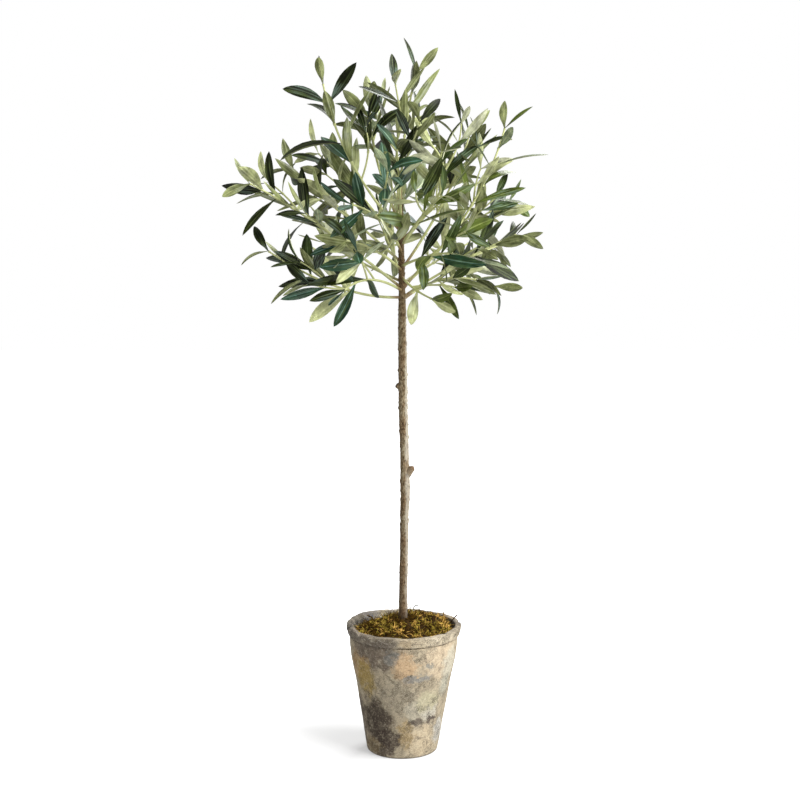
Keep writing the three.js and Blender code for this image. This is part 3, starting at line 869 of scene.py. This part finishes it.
def bough_stem(root, heading, reach, rise, lead, sway, bow):
    """The whole bough from the middle of the trunk to its tip."""
    turn = math.radians(heading)
    out = Vector((math.cos(turn), math.sin(turn), 0))
    side = Vector((-math.sin(turn), math.cos(turn), 0))
    start = trunk_point(root)
    tip = out * reach + Vector((0, 0, root + rise))
    middle = (start + tip) / 2 + out * lead + side * sway + Vector((0, 0, bow))
    return Stem(start, middle, tip, BOUGH_RADII)


def coated_wire():
    """Wire under moulded plastic: satin, brown like bark at the root and pale yellow-green further out."""
    material = new_material("moulded polyethylene stem", roughness=0.5, ior=1.5)
    place = add_node(material, "TexCoord", output="Object")
    flat = add_node(material, "VectorMath", [place, (1, 1, 0)], operation="MULTIPLY")
    reach = add_node(material, "VectorMath", [flat], "Value", operation="LENGTH")
    height = add_node(material, "SeparateXYZ", [place], "Z")
    streak = {"Vector": place, "Scale": STEM_STREAKS, "Detail": 3, "Roughness": 0.6}
    streak = add_node(material, "TexNoise", streak)
    faded = add_node(material, "Math", [streak, 0.03, reach], operation="MULTIPLY_ADD")
    share = joint_share(material, [faded, 0.020, 0.036, 0, 1], [height, 0.70, 0.73, 0, 1], "MAXIMUM")
    green = stained(material, "8b9153", "c3c68f", streak)
    return finished(material, stained(material, "77603d", green, share), streak, 0.4, 0.0005)


stem_material = coated_wire()
leaders = {name: bough_stem(*row[:7]) for name, row in BOUGHS.items()}
bough_runs = [leader.run(0, FOLIAGE_ENTRY, BOUGH_STEP) for leader in leaders.values()]
bough_nodes = [f"bough_{name}" for name in BOUGHS]
add_piece("boughs", tubes("boughs", bough_runs, BOUGH_SIDES), bough_nodes, [stem_material])

# ---- twigs ----
# The ends of the boughs inside the foliage, and the side shoots that fork off them. They are one moulding
# with the bough's coating, and have a swelling where each pair of leaves leaves the stem.
SHOOT_PLACES = (0.42, 0.6)  # where side shoots may fork off a leader
SHOOT_DRIFT = 0.04  # how far they may fork off above or below that
SHOOT_CHANCE = 0.75
SHOOT_LENGTH = (0.045, 0.07)
SHOOT_RADII = (0.0013, 0.0009)
SHOOT_FORK = (28, 44)  # degrees between a shoot and its leader
SHOOT_BEND = (0.02, 0.12)  # how far its middle bends out, of its length
SHOOT_ROLL = 35  # degrees by which it may stand off the side of its leader
SHOOT_LEAF_ROLL = (50, 130)  # degrees from its own roll to that of its last pair of leaves
UPRIGHT = 0.05  # a stem nearer upright than this has no up side of its own
SHOOT_STEEPEST_DROP = -0.25  # a shoot that would point further down than this goes up instead
PAIR_SPACING = 0.026
LEAFY_FROM = 0.38  # share of a leader's length at which its first leaves stand
SHOOT_LEAFY_FROM = 0.35
SWELLING = 1.5
SWELLING_REACH = 0.0016
TWIG_SIDES = 8
TWIG_STEP = 0.002


def side_direction(way, roll):
    """A direction square to a stem, turned about it by roll: 0 points up and 90 sideways."""
    up = Vector((0, 0, 1)) - way * way.z
    up = up.normalized() if up.length > UPRIGHT else way.orthogonal().normalized()
    up.rotate(Matrix.Rotation(roll, 3, way))
    return up


def side_shoot(leader, share, roll, rng):
    """A shoot that forks off a leader at a share of its length and bends towards its direction."""
    way = leader.way(share)
    fork = math.radians(rng.uniform(*SHOOT_FORK))
    side = side_direction(way, roll)
    if side.z < SHOOT_STEEPEST_DROP:
        side.negate()
    length = rng.uniform(*SHOOT_LENGTH)
    start = leader.at(share)
    tip = start + (way * math.cos(fork) + side * math.sin(fork)) * length
    middle = (start + tip) / 2 + side * length * rng.uniform(*SHOOT_BEND)
    return Stem(start, middle, tip, SHOOT_RADII)


def grow(leader, roll, rng):
    """The stems of one spray, as (stem, share where its leaves start, roll of its last pair)."""
    stems = [(leader, LEAFY_FROM, roll)]
    turn = rng.choice((-1, 1))
    for place in SHOOT_PLACES:
        if rng.random() < SHOOT_CHANCE:
            shoot_roll = roll + math.radians(90 * turn + rng.uniform(-SHOOT_ROLL, SHOOT_ROLL))
            share = place + rng.uniform(-SHOOT_DRIFT, SHOOT_DRIFT)
            shoot = side_shoot(leader, share, shoot_roll, rng)
            leaf_roll = shoot_roll + math.radians(rng.uniform(*SHOOT_LEAF_ROLL))
            stems.append((shoot, SHOOT_LEAFY_FROM, leaf_roll))
            turn = -turn
    return stems


def pair_shares(stem, leafy_from):
    """Shares of a stem's length at which its pairs of leaves stand, the last pair at its tip first."""
    spacing = PAIR_SPACING / stem.length
    count = int((1 - leafy_from) / spacing) + 1
    return [1 - spacing * number for number in range(count)]


def swollen(stem, first, leafy_from):
    """The run of a stem from a share on, its radius swelling where its leaves leave it."""
    knots = [stem.at(share) for share in pair_shares(stem, leafy_from)]
    run = []
    for place, radius in stem.run(first, 1, TWIG_STEP):
        at_knot = min((place - knot).length for knot in knots) < SWELLING_REACH
        run.append((place, radius * (SWELLING if at_knot else 1)))
    return run


sprays = {}
for name, leader in leaders.items():
    *_, roll, seed = BOUGHS[name]
    sprays[name] = grow(leader, math.radians(roll), random.Random(seed))
twig_runs = []
for spray in sprays.values():
    for stem, leafy_from, _ in spray:
        first = FOLIAGE_ENTRY if stem in leaders.values() else 0
        twig_runs.append(swollen(stem, first, leafy_from))
foliage_nodes = [f"foliage_{name}" for name in BOUGHS]
add_piece("twigs", tubes("twigs", twig_runs, TWIG_SIDES), foliage_nodes, [stem_material])

# ---- leaves ----
# Die-cut cloth leaves with a coating, pressed with a rib down the middle and glued on in opposite pairs,
# each pair a quarter turn from the last. They are dark and glossy above, and pale and dull below.
LEAF_LENGTHS = (0.041, 0.054, 0.065, 0.070)  # in the last pair, and in each one further from the tip
LEAF_LENGTH_SPREAD = (0.86, 1.16)
LEAF_WIDTH = 0.238  # of its length in a long leaf, and more in a shorter one
LEAF_WIDTH_SPREAD = (0.78, 1.2)
SHORT_LEAF_WIDENING = 0.2
LEAF_STEPS = 8
LEAF_COLUMNS = (-1, -0.085, 0.085, 1)  # the middle one is the rib
TIP_CROWDING = 1.3  # above 1, rows of faces stand closer towards the tip, which rounds it
LEAF_STALK = 0.07  # share of the length that is stalk
STALK_HALF_WIDTH = 0.055
BLADE_BULGE = 0.78  # below 1, the blade's outline is fuller than a plain arch
BLADE_WIDEST = 1.08  # above 1, it is widest a little beyond its middle
RIB_ABOVE = 0.004  # how far the rib stands out on the upper side, of the leaf's length
RIB_BELOW = 0.0112
TIP_SPREAD = (22, 42)  # degrees between a stem and its last pair of leaves
PAIR_SPREAD = (32, 58)  # and between it and the others
PAIR_ROLL = 14  # degrees by which a leaf may stand off its pair's roll
LEAF_DROOP = 0.35  # how much leaves on the underside of a stem hang down
LEAF_TILT = 78  # degrees by which a leaf may turn over about its own line
LEAF_SKYWARD = 0.25  # how much upper sides lean to the sky
LEAF_BEND = (-0.4, 0.9)  # radians by which a leaf bends down along its length
LEAF_SWEEP = 0.12  # how far its tip may sweep sideways, of its length
LEAF_FOLD = (0.05, 0.4)  # how steeply its halves fold up
LEAF_TWIST = 0.5  # radians by which it may twist
# Coated colours: upper side, rib above, underside, rib below.
LEAF_DYES = {
    "bottle": ("1d2502", "454f24", "9fa574", "b6ba87"),
    "blue": ("203b28", "55766a", "98a582", "b6bb94"),
    "olive": ("46521c", "6c763a", "a5aa7a", "b8bb8c"),
    "grey": ("2e3c18", "51603a", "cacdab", "d9dcc0"),
    "deep": ("0f1501", "2c3619", "6e7549", "8b9060"),
}
# The coat on each of them: roughness, specular level, the two colours of its painted sheen, and the painted
# sheen's share.
LEAF_COATS = {
    "upper side": (0.38, 0.13, ("6a7944", "7d9282"), 0.45),
    "rib above": (0.45, 0.2, ("8d9a64", "93a58a"), 0.4),
    "underside": (0.6, 0.15, ("c4c898", "ccd3bd"), 0.4),
    "rib below": (0.6, 0.15, ("cbd0a4", "cfd5bd"), 0.3),
}
DYE_DEPTHS = (0.5, 1.22)  # how dark and how light a dye comes out
# A spray has one main dye, drawn from its kind's row, and the rest of its leaves have any of that row.
SPRAY_DYES = {
    "mixed": "bottle deep bottle deep blue olive olive grey grey".split(),
    "dark": "deep deep bottle deep bottle deep blue deep bottle".split(),
    "light": "grey olive grey olive grey olive grey blue bottle".split(),
    "blue": "blue deep blue deep blue deep blue bottle grey".split(),
}
MAIN_DYE_SHARE = 0.6
# The sprays of each kind. The others are mixed.
SPRAY_KINDS = {
    "dark": "top top_left inner_left long_left back_left back_top upper_right low_right".split(),
    "light": "front_right dropping_right middle_right".split(),
    "blue": "front_left front_top".split(),
}
TURNED_SPRAYS = ("front_middle", "dropping_right")  # wired on with the undersides of their leaves up
# The coating's patterns, which carry a painted sheen and painted shade. Creases run along the blade, 1.6 of
# them to its length and 7 to its width, which is 2 mm apart, because the real ones are too fine to show.
CREASES = (1.6, 7, 0)
CREASE_DRIFT = (24, 24, 24)  # they change from leaf to leaf, over 40 mm
CLOUDS = 55  # noise scale of the changes in the dye, over 18 mm
COATS = 22  # and in the painted sheen's colour and strength, over 45 mm


def leaf_half_width(share):
    """Half the width of a leaf of unit length and width: a narrow stalk, then a lance with a blunt tip."""
    if share < LEAF_STALK:
        return STALK_HALF_WIDTH
    along = (share - LEAF_STALK) / (1 - LEAF_STALK)
    lance = 0.5 * math.sin(math.pi * along**BLADE_WIDEST) ** BLADE_BULGE
    return max(lance, STALK_HALF_WIDTH * (1 - along))


def leaf_blade():
    """One leaf of unit length along +X, upper side up, as a thin closed blade with its rib apart."""
    blade = bmesh.new()
    columns = len(LEAF_COLUMNS) - 1
    bmesh.ops.create_grid(blade, x_segments=LEAF_STEPS, y_segments=columns, size=0.5)
    for vertex in blade.verts:
        share = 1 - (0.5 - vertex.co.x) ** TIP_CROWDING
        across = LEAF_COLUMNS[round((vertex.co.y + 0.5) * columns)]
        vertex.co = (share, across * leaf_half_width(share), 0 if vertex.is_boundary else RIB_ABOVE)
    bmesh.ops.recalc_face_normals(blade, faces=blade.faces[:])
    if blade.faces[:][0].normal.z < 0:
        bmesh.ops.reverse_faces(blade, faces=blade.faces[:])
    for face in blade.faces:
        face.material_index = 1 if abs(face.calc_center_median().y) < 1e-3 else 0
    copied = bmesh.ops.duplicate(blade, geom=blade.faces[:])["geom"]
    underside = [item for item in copied if isinstance(item, bmesh.types.BMFace)]
    bmesh.ops.reverse_faces(blade, faces=underside)
    for face in underside:
        face.material_index += 2
        for vertex in face.verts:
            if not vertex.is_boundary:
                vertex.co.z = -RIB_BELOW
    bmesh.ops.remove_doubles(blade, verts=blade.verts[:], dist=1e-4)
    layout = blade.loops.layers.uv.new("blade")
    for face in blade.faces:
        for corner in face.loops:
            place = corner.vert.co
            corner[layout].uv = (place.x, 0.5 + place.y)
    for edge in blade.edges:
        sides = {face.material_index // 2 for face in edge.link_faces}
        edge.smooth = len(sides) == 1
    return blade


def set_leaf(leaves, template, base, way, up, length, width, bend, sweep, fold, twist, dye):
    """Adds one leaf to the leaves: at base, along way, upper side towards up, bent down, swept and folded."""
    count = len(leaves.verts)
    face_count = len(leaves.faces)
    leaves.from_mesh(template)
    leaves.verts.ensure_lookup_table()
    leaves.faces.ensure_lookup_table()
    side = up.cross(way).normalized()
    up = way.cross(side).normalized()
    for vertex in leaves.verts[count:]:
        share, across, lift = vertex.co
        across *= width
        lift += abs(across) * fold
        sine, cosine = math.sin(twist * share), math.cos(twist * share)
        across, lift = across * cosine - lift * sine, across * sine + lift * cosine
        angle = bend * share
        if abs(bend) > 1e-3:
            along, sink = math.sin(angle) / bend, (1 - math.cos(angle)) / bend
        else:
            along, sink = share, 0
        along += lift * math.sin(angle)
        lift = lift * math.cos(angle) - sink
        across += sweep * share * share
        vertex.co = base + (way * along + side * across + up * lift) * length
    for face in leaves.faces[face_count:]:
        face.material_index += list(LEAF_DYES).index(dye) * len(LEAF_COATS)


def leaves_of(stem, leafy_from, roll, turned_over, rng):
    """Where the leaves of one stem go, as (base, direction, upper side, length), from its tip downwards."""
    for pair, share in enumerate(pair_shares(stem, leafy_from)):
        way = stem.way(share)
        place = stem.at(share)
        for half in (0, 1):
            leaf_roll = roll + math.radians(90 * pair + 180 * half + rng.uniform(-PAIR_ROLL, PAIR_ROLL))
            side = side_direction(way, leaf_roll)
            spread = math.radians(rng.uniform(*(PAIR_SPREAD if pair else TIP_SPREAD)))
            leaf_way = way * math.cos(spread) + side * math.sin(spread)
            leaf_way.z += LEAF_DROOP * spread * min(side.z, 0)
            leaf_way.normalize()
            upper = (way - leaf_way * way.dot(leaf_way)).normalized()
            upper = (upper + Vector((0, 0, LEAF_SKYWARD))).normalized()
            tilt = math.radians(rng.uniform(-LEAF_TILT, LEAF_TILT) + 180 * turned_over)
            upper.rotate(Matrix.Rotation(tilt, 3, leaf_way))
            length = LEAF_LENGTHS[min(pair, len(LEAF_LENGTHS) - 1)] * rng.uniform(*LEAF_LENGTH_SPREAD)
            yield place, leaf_way, upper, length


def shade(hex_value, factor):
    """A colour made lighter or darker, as linear RGBA."""
    return (*[min(channel * factor, 1) for channel in colour(hex_value)[:3]], 1)


def cloth_leaf(name, dye, roughness, specular, painted_sheens, painted_sheen_share):
    """Coated cloth: its tone changes a little from leaf to leaf, and a painted sheen lies on the creases
    along it, with painted shade between them.
    """
    material = new_material(name, roughness=roughness, specular=specular)
    place = add_node(material, "TexCoord", output="Object")
    dark, light = (shade(dye, depth) for depth in DYE_DEPTHS)
    cloud = {"Vector": place, "Scale": CLOUDS, "Detail": 3, "Roughness": 0.6}
    cloud = add_node(material, "TexNoise", cloud)
    tint = stained(material, dark, light, [cloud, 0.35, 0.65, 0, 1])
    creases = add_node(material, "UVMap", uv_map="blade")
    creases = add_node(material, "VectorMath", [creases, CREASES], operation="MULTIPLY")
    creases = add_node(material, "VectorMath", [place, CREASE_DRIFT, creases], operation="MULTIPLY_ADD")
    crease = {"Vector": creases, "Scale": 1, "Detail": 2, "Roughness": 0.5}
    crease = add_node(material, "TexNoise", crease)
    # The painted sheen on the creases is green on most leaves, and stronger and blue-grey on some of them.
    coat = add_node(material, "TexNoise", {"Vector": place, "Scale": COATS, "Detail": 1})
    sheen = stained(material, *painted_sheens, [coat, 0.5, 0.6, 0, 1])
    strength = joint_share(material, [crease, 0.42, 0.66, 0, 1], [coat, 0.36, 0.62, 0.3, 1])
    painted_shine = add_node(material, "Math", [strength, painted_sheen_share], operation="MULTIPLY")
    tint = stained(material, tint, sheen, painted_shine)
    # Painted shade: the troughs between the creases are darkened.
    tint = toned(material, tint, [crease, 0.28, 0.5, 0.72, 1])
    return finished(material, tint, crease, 0.6, 0.001)


leaf_materials = []
for dye_name, dyed_parts in LEAF_DYES.items():
    for dyed, (part, coat) in zip(dyed_parts, LEAF_COATS.items()):
        leaf_materials.append(cloth_leaf(f"coated cloth, {dye_name} green {part}", dyed, *coat))

leaf_template = shown_mesh("leaf_template", leaf_blade())
leaves = bmesh.new()
for name, spray in sprays.items():
    leaf_rng = random.Random(BOUGHS[name][-1])
    dyes = SPRAY_DYES[next((kind for kind, names in SPRAY_KINDS.items() if name in names), "mixed")]
    main_dye = leaf_rng.choice(dyes)
    for stem, leafy_from, roll in spray:
        for place, way, upper, length in leaves_of(stem, leafy_from, roll, name in TURNED_SPRAYS, leaf_rng):
            dye = main_dye if leaf_rng.random() < MAIN_DYE_SHARE else leaf_rng.choice(dyes)
            width = LEAF_WIDTH * leaf_rng.uniform(*LEAF_WIDTH_SPREAD)
            width *= (LEAF_LENGTHS[-1] / length) ** SHORT_LEAF_WIDENING
            bend = leaf_rng.uniform(*LEAF_BEND)
            sweep = leaf_rng.uniform(-LEAF_SWEEP, LEAF_SWEEP)
            fold = leaf_rng.uniform(*LEAF_FOLD)
            twist = leaf_rng.uniform(-LEAF_TWIST, LEAF_TWIST)
            set_leaf(leaves, leaf_template, place, way, upper, length, width, bend, sweep, fold, twist, dye)
bpy.data.meshes.remove(leaf_template)
add_piece("leaves", shown_mesh("leaves", leaves), foliage_nodes, leaf_materials)

# ---- floor and light ----
# A seamless white floor in an even white surround. The key light stands to the right, a weaker fill light
# in front and a back light behind, all of them softboxes that face the middle of the tree.
FLOOR_SIZE = 12.0
FLOOR_GLOW = (0.32, 1.0)  # at the pot and out past its shadow
SHADOW_REACH = (0.08, 0.32)
SURROUND_LIGHT = 0.45
LIGHTS_FACE = Vector((0, 0, 0.5))
# Place, size and power in watts.
SOFTBOXES = {
    "key": ((2.0, -1.0, 1.95), 2.2, 168),
    "fill": ((-0.5, -2.6, 1.7), 1.6, 34),
    "back": ((0.9, 1.7, 1.9), 1.2, 50),
}


def white_board():
    """Matte white board that glows evenly, less so round the pot, where its shadow shows faintly."""
    material = new_material("white board", roughness=1.0, specular=0.0)
    shader = material.node_tree.nodes["Principled BSDF"]
    shader.inputs["Base Color"].default_value = colour("bcbcbc")
    shader.inputs["Emission Color"].default_value = colour("ffffff")
    place = add_node(material, "TexCoord", output="Object")
    reach = add_node(material, "VectorMath", [place], "Value", operation="LENGTH")
    near = add_node(material, "MapRange", [reach, *SHADOW_REACH, *FLOOR_GLOW], **SMOOTH)
    seen = add_node(material, "LightPath", output="Is Camera Ray")
    glow = add_node(material, "Math", [seen, near], operation="MULTIPLY")
    material.node_tree.links.new(glow, shader.inputs["Emission Strength"])
    return material


floor_shape = bmesh.new()
bmesh.ops.create_grid(floor_shape, x_segments=1, y_segments=1, size=FLOOR_SIZE / 2)
floor = bpy.data.objects.new("floor", shown_mesh("floor", floor_shape))
floor.data.materials.append(white_board())
bpy.context.scene.collection.objects.link(floor)
floor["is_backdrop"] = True

world = bpy.data.worlds.new("surround")
world.use_nodes = True
background = world.node_tree.nodes["Background"]
background.inputs["Color"].default_value = colour("ffffff")
background.inputs["Strength"].default_value = SURROUND_LIGHT
seen = add_node(world, "Background", {"Color": "ffffff", "Strength": 1.0})
camera_ray = add_node(world, "LightPath", output="Is Camera Ray")
surround = add_node(world, "MixShader", [camera_ray, background.outputs["Background"], seen])
world.node_tree.links.new(surround, world.node_tree.nodes["World Output"].inputs["Surface"])
bpy.context.scene.world = world

for name, (place, size, power) in SOFTBOXES.items():
    softbox = bpy.data.lights.new(name, "AREA")
    softbox.shape = "SQUARE"
    softbox.size = size
    softbox.energy = power
    light = bpy.data.objects.new(name, softbox)
    light.location = place
    light.rotation_euler = (LIGHTS_FACE - Vector(place)).to_track_quat("-Z", "Y").to_euler()
    bpy.context.scene.collection.objects.link(light)

bpy.context.scene.view_settings.view_transform = "Standard"
bpy.context.scene.view_settings.look = "None"

[[list(corner) for corner in box] for box in (cad_bounds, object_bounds())]
